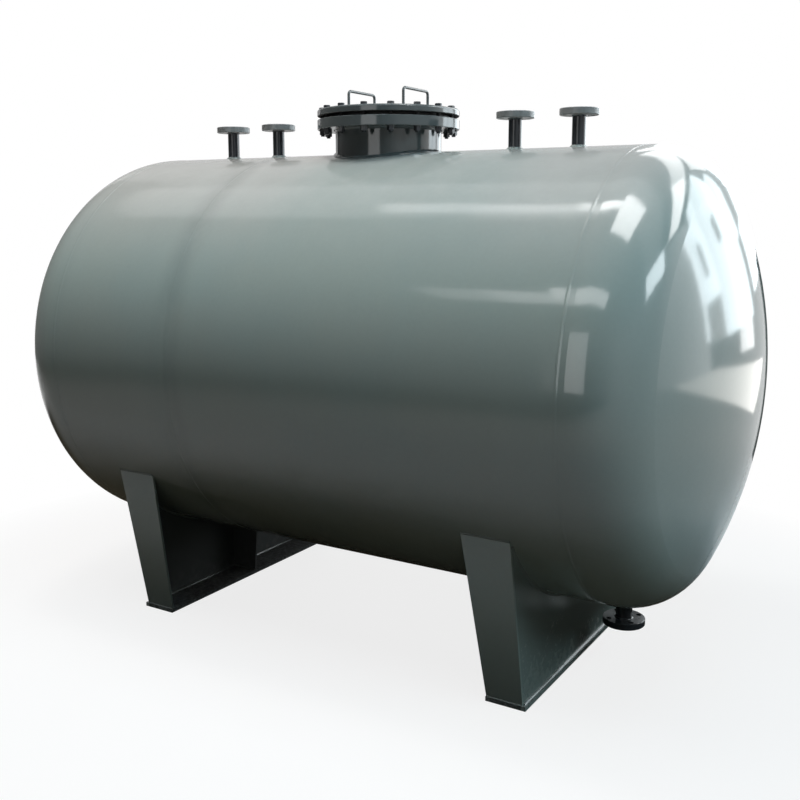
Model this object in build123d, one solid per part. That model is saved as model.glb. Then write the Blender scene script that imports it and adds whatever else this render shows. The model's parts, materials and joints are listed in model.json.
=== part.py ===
from build123d import *
from math import atan2, cos, hypot, radians, sin, tan
import os

# Horizontal fuel tank on two welded saddles, in millimetres.
# The origin is on the floor under the middle of the tank, +X runs along it and +Z is up.

# Cylindrical shell, rolled in two courses that are butt welded
shell_inner_diameter = 1600
plate_thickness = 6
long_course_length = 1527
short_course_length = 597
ground_clearance = 272

# Torispherical heads
crown_radius = 1600
knuckle_radius = 240
straight_flange_length = 25

# Saddles: a base plate, a web on the outer side, two leaning end plates and a middle rib
web_to_seam = 196
saddle_contact_half_angle = 56
base_plate_length = 1094
base_plate_thickness = 16
base_plate_end_margin = 3
base_plate_outer_margin = 12
base_plate_inner_margin = 2
end_plate_thickness = 10
end_plate_bottom_width = 136
end_plate_top_width = 177
web_thickness = 10
rib_thickness = 10

# Manhole
neck_inner_diameter = 400
neck_wall = 9
neck_height = 89
neck_setback = 8
manhole_flange_thickness = 38
cover_thickness = 25
manhole_face_width = 29
manhole_face_height = 4
gasket_thickness = 6
manhole_face_to_bolts = 21
manhole_bolts_to_rim = 21
manhole_bolt_count = 16
manhole_bolt_hole = 18
cover_edge_radius = 8
rim_chamfer = 2

# Lifting handles of bent round bar on the manhole cover
handle_spacing = 250
handle_length = 186
handle_height = 79
handle_bar_diameter = 11
handle_bend_radius = 14

# Flanged nozzles: four in line on the crest and one larger drain at the lowest line
nozzle_outer_diameter = 48.6
nozzle_wall = 3.7
nozzle_face_diameter = 81
nozzle_projection = 136
drain_outer_diameter = 60.5
drain_wall = 3.9
drain_face_diameter = 96
drain_projection = 125
nozzle_setback = 5
nozzle_flange_thickness = 26
nozzle_face_height = 2
nozzle_face_to_bolts = 12
nozzle_bolts_to_rim = 17.5
nozzle_bolt_count = 4
nozzle_bolt_hole = 19
outer_nozzle_to_seam = 265
nozzle_pair_spacing = 248
drain_edge_to_seam = 5.75

# Gap left at the root of every welded joint that follows a round face, and the overrun of cuts
weld_root_gap = 0.3
cut_overrun = 60

# Sizes that follow from those above
inner_radius = shell_inner_diameter / 2
outer_radius = inner_radius + plate_thickness
axis_height = ground_clearance + outer_radius
cylinder_length = long_course_length + short_course_length
right_seam_x = cylinder_length / 2
middle_seam_x = right_seam_x - long_course_length
knuckle_rise = inner_radius - knuckle_radius
head_depth = crown_radius - ((crown_radius - knuckle_radius) ** 2 - knuckle_rise ** 2) ** 0.5

web_face_x = right_seam_x - web_to_seam
base_plate_outer_x = web_face_x + base_plate_outer_margin
base_plate_width = base_plate_inner_margin + end_plate_bottom_width + base_plate_outer_margin
contact_y = outer_radius * sin(radians(saddle_contact_half_angle))
contact_z = axis_height - outer_radius * cos(radians(saddle_contact_half_angle))
foot_y = base_plate_length / 2 - base_plate_end_margin
end_plate_rise = contact_z - base_plate_thickness
end_plate_run = contact_y - foot_y
end_plate_slope = hypot(end_plate_rise, end_plate_run)
lean = atan2(end_plate_run, end_plate_rise)

neck_outer_diameter = neck_inner_diameter + 2 * neck_wall
manhole_face_diameter = neck_outer_diameter + 2 * manhole_face_width
manhole_bolt_circle = manhole_face_diameter + 2 * manhole_face_to_bolts
manhole_flange_diameter = manhole_bolt_circle + 2 * manhole_bolts_to_rim
manhole_flange_bottom = outer_radius + neck_height
gasket_bottom = manhole_flange_bottom + manhole_flange_thickness + manhole_face_height
cover_face = gasket_bottom + gasket_thickness
cover_top = cover_face + manhole_face_height + cover_thickness

outer_nozzle_x = right_seam_x - outer_nozzle_to_seam
inner_nozzle_x = outer_nozzle_x - nozzle_pair_spacing
drain_x = right_seam_x - drain_edge_to_seam - drain_outer_diameter / 2
top_nozzle_places = (-outer_nozzle_x, -inner_nozzle_x, inner_nozzle_x, outer_nozzle_x)

ON_FLOOR = (Align.CENTER, Align.CENTER, Align.MIN)
parts = {}


def disc(diameter, height, bottom):
    """Upright round disc that starts at the given height."""
    return Pos(0, 0, bottom) * Cylinder(diameter / 2, height, align=ON_FLOOR)


def along_tank(radius, length):
    """Round bar along the tank's axis, centred on the tank."""
    return Pos(0, 0, axis_height) * Rot(0, 90, 0) * Cylinder(radius, length)


def bolt_holes(circle, count, diameter, height, bottom):
    """Ring of upright hole cutters that straddle the centre lines."""
    half_step = 180 / count
    places = PolarLocations(circle / 2, count, start_angle=half_step)
    return [place * disc(diameter, height, bottom) for place in places]


def on_crest(shape, x):
    """Place a shape built outward from the tank's axis on the highest line of the shell."""
    return Pos(x, 0, axis_height) * shape


def under_belly(shape, x):
    """Place a shape built outward from the tank's axis on the lowest line of the shell."""
    return Pos(x, 0, axis_height) * Rot(180, 0, 0) * shape


def shell_course(start_x, length):
    """Rolled cylinder between two seams."""
    tube = Cylinder(outer_radius, length) - Cylinder(inner_radius, length + cut_overrun)
    return Pos(start_x + length / 2, 0, axis_height) * Rot(0, 90, 0) * tube


def head_edge(offset):
    """Meridian of the head from its rim to its crown, offset outward from the inside face."""
    rim = (0, inner_radius + offset)
    tangent_point = (straight_flange_length, inner_radius + offset)
    crown_centre_x = straight_flange_length + head_depth - crown_radius
    reach = (crown_radius + offset) / (crown_radius - knuckle_radius)
    knuckle_end = (crown_centre_x + reach * (crown_radius - head_depth), reach * knuckle_rise)
    apex = (straight_flange_length + head_depth + offset, 0)
    flange = Line(rim, tangent_point)
    knuckle = TangentArc(flange @ 1, knuckle_end, tangent=flange % 1)
    crown = TangentArc(knuckle @ 1, apex, tangent=knuckle % 1)
    return flange, knuckle, crown


def dished_head():
    """Torispherical head: straight flange, knuckle and crown of even thickness, revolved."""
    inside = head_edge(0)
    outside = head_edge(plate_thickness)
    rim = Line(inside[0] @ 0, outside[0] @ 0)
    axis_cut = Line(inside[2] @ 1, outside[2] @ 1)
    section = make_face(Curve() + [*inside, *outside, rim, axis_cut])
    return Pos(right_seam_x, 0, axis_height) * revolve(section, Axis.X, 360)


def end_plate_inner_y(z):
    """Distance of an end plate's inner face from the middle of the saddle at a height."""
    outer_y = foot_y + (z - base_plate_thickness) * tan(lean)
    return outer_y - end_plate_thickness / cos(lean)


def end_plate_width(distance):
    """Width of an end plate at a distance up its slope: its inner edge flares towards the shell."""
    flare = (end_plate_top_width - end_plate_bottom_width) / end_plate_slope
    return end_plate_bottom_width + flare * distance


def above_base():
    """Room over the base plates, used to trim the feet of the end plates."""
    room = Box(cylinder_length, base_plate_length + shell_inner_diameter, axis_height, align=ON_FLOOR)
    return Pos(0, 0, base_plate_thickness) * room


def shell_seat():
    """Round room of the shell that the saddle plates are profiled to."""
    return along_tank(outer_radius + weld_root_gap, cylinder_length)


def saddle_base_plate():
    """Flat foot of the saddle."""
    plate = Box(base_plate_width, base_plate_length, base_plate_thickness, align=ON_FLOOR)
    return Pos(base_plate_outer_x - base_plate_width / 2, 0, 0) * plate


def saddle_end_plate():
    """Front end plate: it leans outward, widens upward and its top edge is profiled to the shell."""
    low = -cut_overrun
    high = end_plate_slope + cut_overrun
    corners = [(0, low), (0, high), (-end_plate_width(high), high), (-end_plate_width(low), low)]
    face_out = (0, -cos(lean), -sin(lean))
    outer_face = Plane((web_face_x, -foot_y, base_plate_thickness), x_dir=(1, 0, 0), z_dir=face_out)
    outline = make_face(Polyline(*corners, close=True))
    plate = extrude(outer_face * outline, -end_plate_thickness)
    return (plate & above_base()) - shell_seat()


def saddle_web():
    """Upright web between the end plates, flush with their outer edges."""
    foot_half = end_plate_inner_y(base_plate_thickness)
    top_half = end_plate_inner_y(contact_z)
    corners = [
        (-foot_half, base_plate_thickness),
        (foot_half, base_plate_thickness),
        (top_half, contact_z),
        (-top_half, contact_z),
    ]
    outer_face = Plane((web_face_x, 0, 0), x_dir=(0, 1, 0), z_dir=(1, 0, 0))
    outline = make_face(Polyline(*corners, close=True))
    return extrude(outer_face * outline, -web_thickness) - shell_seat()


def saddle_rib():
    """Middle rib behind the web, as deep as the end plates."""
    back = web_face_x - web_thickness
    corners = [
        (back, base_plate_thickness),
        (back, contact_z),
        (web_face_x - end_plate_top_width, contact_z),
        (web_face_x - end_plate_bottom_width, base_plate_thickness),
    ]
    outline = make_face(Polyline(*corners, close=True))
    return extrude(Plane.XZ * outline, rib_thickness / 2, both=True) - shell_seat()


def add_saddle_pair(piece, shape):
    """Right saddle's piece and its mirror image on the left."""
    parts["right_saddle_" + piece] = shape
    parts["left_saddle_" + piece] = mirror(shape, Plane.YZ)


def set_in_pipe(diameter, wall, end):
    """Upright pipe from the shell's inside face, where it is coped flush, to its outer end."""
    pipe = disc(diameter, end, 0) - disc(diameter - 2 * wall, end + cut_overrun, 0)
    tank_room = Rot(0, 90, 0) * Cylinder(inner_radius, diameter + cut_overrun)
    return pipe - tank_room


def shell_hole(diameter):
    """Cutter for the hole that a set-in pipe passes through."""
    return disc(diameter + 2 * weld_root_gap, outer_radius + cut_overrun, 0)


def slip_on_flange(diameter, thickness, bottom, face_diameter, face_height, pipe_diameter):
    """Plate flange with chamfered rim and raised face, bored to slip over its pipe."""
    plate = disc(diameter, thickness, bottom)
    plate = chamfer(plate.edges().filter_by(GeomType.CIRCLE), rim_chamfer)
    plate += disc(face_diameter, face_height, bottom + thickness)
    bore = disc(pipe_diameter + 2 * weld_root_gap, thickness + cut_overrun, bottom - cut_overrun / 2)
    return plate - bore


def nozzle_pipe(diameter, wall, projection):
    """Pipe of a nozzle, ending just below the flange's face."""
    return set_in_pipe(diameter, wall, outer_radius + projection - nozzle_setback)


def nozzle_flange(face_diameter, pipe_diameter, projection):
    """Flange of a nozzle with its bolt holes."""
    bolt_circle = face_diameter + 2 * nozzle_face_to_bolts
    diameter = bolt_circle + 2 * nozzle_bolts_to_rim
    plate = nozzle_flange_thickness - nozzle_face_height
    bottom = outer_radius + projection - nozzle_flange_thickness
    flange = slip_on_flange(diameter, plate, bottom, face_diameter, nozzle_face_height, pipe_diameter)
    holes = bolt_holes(bolt_circle, nozzle_bolt_count, nozzle_bolt_hole,
                       nozzle_flange_thickness + cut_overrun, bottom - cut_overrun / 2)
    return flange - holes


def manhole_neck():
    """Short wide pipe of the manhole."""
    end = manhole_flange_bottom + manhole_flange_thickness + manhole_face_height - neck_setback
    return set_in_pipe(neck_outer_diameter, neck_wall, end)


def manhole_holes():
    """Bolt holes that pass through the manhole's flange and cover."""
    height = cover_top - manhole_flange_bottom + cut_overrun
    bottom = manhole_flange_bottom - cut_overrun / 2
    return bolt_holes(manhole_bolt_circle, manhole_bolt_count, manhole_bolt_hole, height, bottom)


def manhole_flange():
    """Flange on the manhole's neck."""
    flange = slip_on_flange(manhole_flange_diameter, manhole_flange_thickness, manhole_flange_bottom,
                            manhole_face_diameter, manhole_face_height, neck_outer_diameter)
    return flange - manhole_holes()


def manhole_gasket():
    """Flat ring between the two raised faces."""
    ring = disc(manhole_face_diameter, gasket_thickness, gasket_bottom)
    return ring - disc(neck_outer_diameter, gasket_thickness + cut_overrun, gasket_bottom - cut_overrun / 2)


def manhole_cover():
    """Blind cover with a raised face below, a rounded top rim and a chamfered lower one."""
    plate = disc(manhole_flange_diameter, cover_thickness, cover_face + manhole_face_height)
    rims = plate.edges().filter_by(GeomType.CIRCLE).sort_by(Axis.Z)
    plate = chamfer(rims[0], rim_chamfer)
    top_rim = plate.edges().filter_by(GeomType.CIRCLE).sort_by(Axis.Z)[-1]
    plate = fillet(top_rim, cover_edge_radius)
    plate += disc(manhole_face_diameter, manhole_face_height, cover_face)
    return plate - manhole_holes()


def cover_handle(x):
    """Bow of round bar across the cover, with both feet on its top."""
    half = handle_length / 2
    top = cover_top + handle_height - handle_bar_diameter / 2
    corners = [(x, -half, cover_top), (x, -half, top), (x, half, top), (x, half, cover_top)]
    path = FilletPolyline(*corners, radius=handle_bend_radius)
    return sweep(Plane(path ^ 0) * Circle(handle_bar_diameter / 2), path=path)


# Shell and heads
manhole_hole = on_crest(shell_hole(neck_outer_diameter), 0)
crest_holes = [on_crest(shell_hole(nozzle_outer_diameter), x) for x in top_nozzle_places]
drain_hole = under_belly(shell_hole(drain_outer_diameter), drain_x)
shell_holes = [manhole_hole, drain_hole, *crest_holes]
parts["shell_long_course"] = shell_course(middle_seam_x, long_course_length) - shell_holes
parts["shell_short_course"] = shell_course(-right_seam_x, short_course_length) - shell_holes
parts["right_head"] = dished_head()
parts["left_head"] = mirror(parts["right_head"], Plane.YZ)

# Saddles
add_saddle_pair("base_plate", saddle_base_plate())
add_saddle_pair("web", saddle_web())
add_saddle_pair("rib", saddle_rib())
add_saddle_pair("front_end_plate", saddle_end_plate())
add_saddle_pair("back_end_plate", mirror(saddle_end_plate(), Plane.XZ))

# Manhole
parts["manhole_neck"] = on_crest(manhole_neck(), 0)
parts["manhole_flange"] = on_crest(manhole_flange(), 0)
parts["manhole_gasket"] = on_crest(manhole_gasket(), 0)
parts["manhole_cover"] = on_crest(manhole_cover(), 0)
parts["manhole_left_handle"] = on_crest(cover_handle(-handle_spacing / 2), 0)
parts["manhole_right_handle"] = on_crest(cover_handle(handle_spacing / 2), 0)

# Nozzles, the top ones numbered from the left
top_pipe = nozzle_pipe(nozzle_outer_diameter, nozzle_wall, nozzle_projection)
top_flange = nozzle_flange(nozzle_face_diameter, nozzle_outer_diameter, nozzle_projection)
for number, x in enumerate(top_nozzle_places, start=1):
    parts[f"top_nozzle_{number}_pipe"] = on_crest(top_pipe, x)
    parts[f"top_nozzle_{number}_flange"] = on_crest(top_flange, x)
drain_pipe = nozzle_pipe(drain_outer_diameter, drain_wall, drain_projection)
drain_flange = nozzle_flange(drain_face_diameter, drain_outer_diameter, drain_projection)
parts["drain_nozzle_pipe"] = under_belly(drain_pipe, drain_x)
parts["drain_nozzle_flange"] = under_belly(drain_flange, drain_x)

os.makedirs("parts", exist_ok=True)
for node, shape in parts.items():
    export_step(shape, f"parts/{node}.step")
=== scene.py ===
"""Looks of a horizontal fuel tank on saddles: its paint, welds, bolts and the studio around it."""

import json
import math
import random

import bmesh
import bpy
from bpy.props import FloatProperty, FloatVectorProperty, IntProperty, PointerProperty
from mathutils import Euler, Matrix, Vector

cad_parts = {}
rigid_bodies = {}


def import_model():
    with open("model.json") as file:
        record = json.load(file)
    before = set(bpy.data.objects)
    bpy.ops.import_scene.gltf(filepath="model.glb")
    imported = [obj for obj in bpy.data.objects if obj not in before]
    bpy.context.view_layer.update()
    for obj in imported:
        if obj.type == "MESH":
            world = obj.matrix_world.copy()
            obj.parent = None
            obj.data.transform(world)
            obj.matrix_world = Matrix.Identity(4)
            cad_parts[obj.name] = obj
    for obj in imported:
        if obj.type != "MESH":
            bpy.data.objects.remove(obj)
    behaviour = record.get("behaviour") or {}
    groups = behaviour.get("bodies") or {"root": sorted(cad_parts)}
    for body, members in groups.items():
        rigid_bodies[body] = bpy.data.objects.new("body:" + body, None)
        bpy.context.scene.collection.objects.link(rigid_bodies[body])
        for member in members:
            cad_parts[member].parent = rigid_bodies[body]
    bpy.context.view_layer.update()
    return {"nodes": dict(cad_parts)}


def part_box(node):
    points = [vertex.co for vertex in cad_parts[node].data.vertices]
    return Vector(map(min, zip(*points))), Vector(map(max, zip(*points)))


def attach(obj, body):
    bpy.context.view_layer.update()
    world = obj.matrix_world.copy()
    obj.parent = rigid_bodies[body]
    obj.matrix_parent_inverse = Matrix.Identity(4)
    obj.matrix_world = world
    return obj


bl_info = {
    "name": "Fuel Tank Dressing",
    "version": (1, 0, 0),
    "blender": (4, 5, 0),
    "location": "View3D > Sidebar > Fuel Tank",
    "description": "Paints a fuel tank and adds its welds, bolts and studio",
    "category": "Object",
}

for leftover in list(bpy.data.objects):
    bpy.data.objects.remove(leftover)
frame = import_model()

MM = 0.001
ROOT = "root"
WELD_STEP = 0.006
# Waves of a hand-made bead: share of the swing, run per radian and phase
BEAD_WAVES = ((0.40, 0.0113, 0.0), (0.28, 0.0047, 1.3), (0.32, 0.031, 0.4))

# Places and sizes of the solids, in metres
LONG_LOW, LONG_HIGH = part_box("shell_long_course")
SHORT_LOW, SHORT_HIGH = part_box("shell_short_course")
AXIS_Z = (LONG_LOW.z + LONG_HIGH.z) / 2
SHELL_RADIUS = (LONG_HIGH.z - LONG_LOW.z) / 2
NECK_LOW, NECK_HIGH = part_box("manhole_neck")
FLANGE_LOW, FLANGE_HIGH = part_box("manhole_flange")
COVER_LOW, COVER_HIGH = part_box("manhole_cover")
CROWN_RADIUS = 1.606
POLE_PATCH = (0.05, 0.06)
# Middle of the painted shade on the crest about the manhole
MANHOLE_SHADE_X = 0.3
RAISED_FACE = 0.004
JOINT_LEVELS = (FLANGE_HIGH.z - RAISED_FACE, COVER_LOW.z + RAISED_FACE)
WEB_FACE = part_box("right_saddle_web")[1].x
TOP_NOZZLES = ("top_nozzle_1", "top_nozzle_2", "top_nozzle_3", "top_nozzle_4")
DRAIN = "drain_nozzle"
HANDLES = ("manhole_left_handle", "manhole_right_handle")

# Round seams of the shell: place, how far the plate draws in, and how strong and how wide the
# darkening beside it is, partly a weld stain and partly painted shade of the drawn-in plate
SEAMS = (
    (SHORT_LOW.x, 0.0008, 0.03, 0.05),
    (LONG_LOW.x, 0.0016, 0.15, 0.10),
    (LONG_HIGH.x, 0.0008, 0.03, 0.05),
)

SHELL_NODES = ("shell_long_course", "shell_short_course", "left_head", "right_head")
SADDLE_PIECES = ("base_plate", "web", "rib", "front_end_plate", "back_end_plate")
SADDLE_NODES = [f"{side}_saddle_{piece}" for side in ("left", "right") for piece in SADDLE_PIECES]
MANHOLE_NODES = ("manhole_neck", "manhole_flange", "manhole_cover")

# Floor: radius, drop below the base plates, distances over which it turns white, white that it
# has for the camera, and dull shades at the left and the right, which light the tank from below
# and which the gloss shows as a painted shadow under the tank
FLOOR_RADIUS = 40
FLOOR_DROP = 0.0005
FLOOR_FADE = (1.8, 4.5)
FLOOR_GLOW = 0.82
FLOOR_SHADES = ((0.070, 0.057, 0.041, 1), (0.13, 0.11, 0.09, 1))

LAMP_TINT = (1.0, 1.0, 1.0)
WARM_TINT = (1.0, 0.955, 0.915)
COOL_TINT = (0.44, 0.63, 0.745)
DAY_TINT = (0.72, 0.93, 1.0)
KEY_TINT = (1.0, 0.98, 0.95)
SKY_TINT = (0.85, 0.95, 1.0)
FLOOR_TINT = (1.0, 0.97, 0.92)

# Soft lights that the gloss does not show: centre, target, width and height, setting and tint
SOFT_LIGHTS = (
    ("overhead_left", (-1.325, -1.4, 6.2), (-1.325, -1.4, 0), (3.25, 4.2), "overhead", WARM_TINT),
    ("overhead_right", (1.925, -1.4, 6.2), (1.925, -1.4, 0), (3.25, 4.2), "overhead", COOL_TINT),
    ("right_light", (6.0, -0.3, 4.4), (1.2, 0, 1.1), (3.0, 2.4), "right", DAY_TINT),
    ("back_light", (-3.2, 5.5, 2.4), (-0.3, 0, 1.1), (3.0, 2.0), "back", LAMP_TINT),
    ("key_light", (-1.0, -0.6, 6.1), (-0.2, 0, 1.9), (0.8, 0.8), "key", KEY_TINT),
)

# Roof light that hangs askew: centre, width and depth, brightness and turn
SLANTED_LIGHT = ((1.66, 3.53, 5), (3.6, 1.5), 3.8, math.radians(-24.5))

# Flat lights that only the gloss shows: lowest and highest corner, brightness and tint
MIRRORED_LIGHTS = (
    ("roof_light_1", (-1.80, -0.50, 5), (-1.00, -0.08, 5), 2.4, LAMP_TINT),
    ("roof_light_2", (-1.00, -0.50, 5), (-0.15, -0.14, 5), 3.2, LAMP_TINT),
    ("roof_light_3", (-0.15, -0.48, 5), (1.15, -0.12, 5), 12, LAMP_TINT),
    ("roof_light_4", (1.15, -1.35, 5), (2.70, 0.15, 5), 11, LAMP_TINT),
    ("roof_light_5", (-2.40, -5.0, 5), (-1.75, -4.2, 5), 1.6, LAMP_TINT),
    ("roof_light_6", (-1.75, -5.0, 5), (-0.95, -4.2, 5), 3.2, LAMP_TINT),
    ("roof_light_7", (-0.95, -5.0, 5), (3.20, -3.9, 5), 5.5, LAMP_TINT),
    ("roof_light_8", (-0.90, 4.7, 5), (2.60, 8.0, 5), 3.2, LAMP_TINT),
    ("roof_light_9", (3.00, 2.1, 5), (6.30, 3.6, 5), 9, LAMP_TINT),
    ("right_window", (6, -0.9, 3.6), (6, 1.3, 4.7), 11, SKY_TINT),
    ("back_window_1", (-1.3, 8, 2.6), (2.2, 8, 4.9), 3.2, SKY_TINT),
    ("back_window_2", (-1.3, 8, 1.4), (2.9, 8, 2.6), 3.2, SKY_TINT),
    ("back_window_3", (3.1, 8, 2.6), (4.2, 8, 5.4), 3.4, SKY_TINT),
    ("back_window_4", (3.5, 8, 1.1), (4.2, 8, 2.6), 3.4, SKY_TINT),
    ("back_window_5", (4.2, 8, 1.1), (7.2, 8, 8.0), 5.2, SKY_TINT),
    ("back_window_6", (7.2, 8, 1.2), (9.8, 8, 5.8), 7.5, SKY_TINT),
    ("back_window_7", (7.2, 8, 5.8), (8.8, 8, 7.4), 7.0, SKY_TINT),
    ("back_door", (3.8, 8.1, 0.5), (5.6, 8.1, 1.1), 3.2, LAMP_TINT),
    ("front_door", (-1.6, -8, 1.1), (1.9, -8, 5.0), 2.4, LAMP_TINT),
    ("bright_floor", (2.4, 4.4, 0.02), (10.0, 9.5, 0.02), 2.5, FLOOR_TINT),
)

# Flat cards that only the gloss shows, to keep the white surroundings off it: lowest and highest
# corner, and brightness at the lower and the higher end
CARDS = (
    ("left_card", (-4.8, -9.0, 0.5), (-4.8, 1.7, 5.3), 0.20, 0.20),
    ("right_card", (-0.55, 3.2, 0.0), (1.4, 3.2, 1.5), 0.02, 0.02),
    ("right_wall_card", (10, 0.5, 0.0), (10, 8.6, 7.0), 1.0, 2.6),
    ("front_roof_card", (-9, -9.0, 5.3), (1, -0.75, 5.3), 0.15, 0.15),
    ("front_roof_card_right", (1, -9.0, 5.3), (13, -0.75, 5.3), 0.15, 1.0),
    ("front_wall_card", (-9, -9.0, 0.5), (1, -9.0, 5.3), 0.20, 0.20),
    ("front_wall_card_right", (1, -9.0, 0.5), (13, -9.0, 5.3), 0.20, 1.0),
    ("back_wall_card", (-16, 8.2, 0.0), (-1.4, 8.2, 9.0), 0.55, 0.55),
    ("back_roof_card", (-7, 1.3, 5.6), (3, 9.0, 5.6), 0.58, 0.20),
    ("back_roof_card_right", (3, 1.3, 5.6), (7, 5.2, 5.6), 0.35, 0.35),
    ("window_card_1", (5.2, 7.9, 3.35), (5.8, 7.9, 4.05), 1.6, 1.6),
    ("window_card_2", (7.9, 7.9, 3.2), (8.5, 7.9, 4.35), 2.2, 2.2),
    ("window_card_3", (7.2, 7.9, 1.1), (9.3, 7.9, 2.4), 2.2, 2.2),
)


def colour_setting(name, description, value):
    """Setting for the colour of a paint."""
    return FloatVectorProperty(
        name=name, description=description, subtype="COLOR", size=4, min=0, max=1,
        default=(*value, 1))


def share_setting(name, description, value):
    """Setting for a number between 0 and 1."""
    return FloatProperty(
        name=name, description=description, subtype="FACTOR", min=0, max=1, default=value)


def length_setting(name, description, value, low, high):
    """Setting for a length in metres, with its limits."""
    return FloatProperty(
        name=name, description=description, unit="LENGTH", min=low, max=high, default=value)


def light_setting(name, description, value):
    """Setting for the brightness of a light."""
    return FloatProperty(name=name, description=description, min=0, default=value)


class TankPaint(bpy.types.PropertyGroup):
    """Colours and gloss of the tank."""

    enamel_colour: colour_setting(
        "Enamel", "Grey-green enamel of the tank", (0.300, 0.352, 0.325))
    cool_colour: colour_setting(
        "Enamel, cool patches", "Enamel where the sprayed film is thicker", (0.276, 0.340, 0.322))
    # Painted light: the crest's lighter, greyer enamel stands for the light that falls on top
    crest_light_colour: colour_setting(
        "Enamel, bleached", "Enamel that daylight has chalked along the crest",
        (0.335, 0.324, 0.306))
    # Painted light: the flanges' lighter grey stands for their lit rims
    lit_flange_colour: colour_setting(
        "Flanges", "Grey enamel of the nozzles' flanges", (0.200, 0.203, 0.201))
    manhole_colour: colour_setting(
        "Manhole", "Darker grey enamel of the manhole", (0.086, 0.098, 0.099))
    # Painted shade: the near black of the pipes, the drain and the bolts stands for the shade under
    # the flanges and the tank
    shaded_pipe_colour: colour_setting(
        "Pipes", "Nearly black enamel of the nozzles' pipes, the drain and the bolts",
        (0.036, 0.039, 0.045))
    dust_colour: colour_setting("Dust", "Workshop dust on faces that look up", (0.42, 0.42, 0.39))
    primer_colour: colour_setting(
        "Worn edge", "Rubbed film on corners and rims", (0.36, 0.38, 0.37))
    gasket_colour: colour_setting("Gasket", "Black rubber sheet", (0.012, 0.012, 0.013))
    roughness: share_setting("Roughness", "Roughness of the enamel", 0.095)
    dust: share_setting("Dust amount", "How much dust lies on the top faces", 0.16)


class TankWelds(bpy.types.PropertyGroup):
    """Sizes of the weld beads."""

    seam_width: length_setting(
        "Seam width", "Width of the beads on the shell's seams", 0.012, 0.004, 0.03)
    seam_height: length_setting(
        "Seam height", "Rise of the beads on the shell's seams", 0.0007, 0.0003, 0.005)
    saddle_leg: length_setting(
        "Saddle leg", "Leg of the saddles' fillet welds", 0.007, 0.002, 0.012)
    pipe_leg: length_setting(
        "Pipe leg", "Leg of the welds of pipes to the shell", 0.008, 0.002, 0.015)
    hub_leg: length_setting(
        "Hub leg", "Leg of the welds of pipes under their flanges", 0.005, 0.002, 0.012)


class TankBolts(bpy.types.PropertyGroup):
    """Sizes of the manhole's bolts."""

    count: IntProperty(name="Count", description="Bolts round the cover", min=4, max=40, default=16)
    rim_distance: length_setting(
        "Rim distance", "From the bolt circle to the cover's rim", 0.021, 0.01, 0.1)
    shank_diameter: length_setting("Shank", "Diameter of the bolts", 0.016, 0.006, 0.05)
    across_flats: length_setting(
        "Across flats", "Size of heads and nuts over their flats", 0.024, 0.01, 0.08)
    head_height: length_setting("Head", "Height of the heads", 0.010, 0.004, 0.04)
    nut_height: length_setting("Nut", "Height of the nuts", 0.0148, 0.004, 0.04)
    thread_end: length_setting("Thread end", "Thread that stands out of the nuts", 0.006, 0, 0.05)


class TankStudio(bpy.types.PropertyGroup):
    """Floor, light and camera."""

    floor_colour: colour_setting("Floor", "Pale floor", (0.82, 0.82, 0.82))
    overhead: light_setting("Overhead", "Brightness of the soft lights above", 4.8388)
    right: light_setting("Right", "Brightness of the soft light at the right", 6.0)
    back: light_setting("Back", "Brightness of the soft light behind the tank", 5.0)
    key: light_setting("Key", "Brightness of the small light above, which draws the shadows", 40)
    ambient: light_setting("Ambient", "Light from all around", 0.035)
    eye: FloatVectorProperty(
        name="Eye", description="Where the camera stands", subtype="TRANSLATION", size=3,
        default=(2.1388, -3.4273, 1.6579))
    yaw: FloatProperty(
        name="Yaw", description="Turn of the camera", subtype="ANGLE", default=math.radians(31.319))
    pitch: FloatProperty(
        name="Pitch", description="Tilt of the camera below the horizon", subtype="ANGLE",
        default=math.radians(9.055))
    lens: FloatProperty(name="Lens", description="Focal length in millimetres", default=44.80)
    rise: FloatProperty(name="Lens rise", description="Vertical shift of the lens", default=-0.0375)


class Tone:
    """A socket of a finish. Arithmetic on tones adds Math nodes."""

    def __init__(self, finish, socket):
        self.finish = finish
        self.socket = socket

    def step(self, operation, *others):
        return self.finish.maths(operation, self, *others)

    def __add__(self, other):
        return self.step("ADD", other)

    def __sub__(self, other):
        return self.step("SUBTRACT", other)

    def __rsub__(self, other):
        return self.finish.maths("SUBTRACT", other, self)

    def __mul__(self, other):
        return self.step("MULTIPLY", other)

    def __abs__(self):
        return self.step("ABSOLUTE")

    __radd__ = __add__
    __rmul__ = __mul__

    def at_most(self, other):
        return self.step("MINIMUM", other)

    def at_least(self, other):
        return self.step("MAXIMUM", other)

    def ramp(self, start, end):
        """Smooth step from 0 at start to 1 at end."""
        return self.finish.node(
            "ShaderNodeMapRange", {"interpolation_type": "SMOOTHSTEP"},
            {"Value": self, "From Min": start, "From Max": end})


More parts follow.
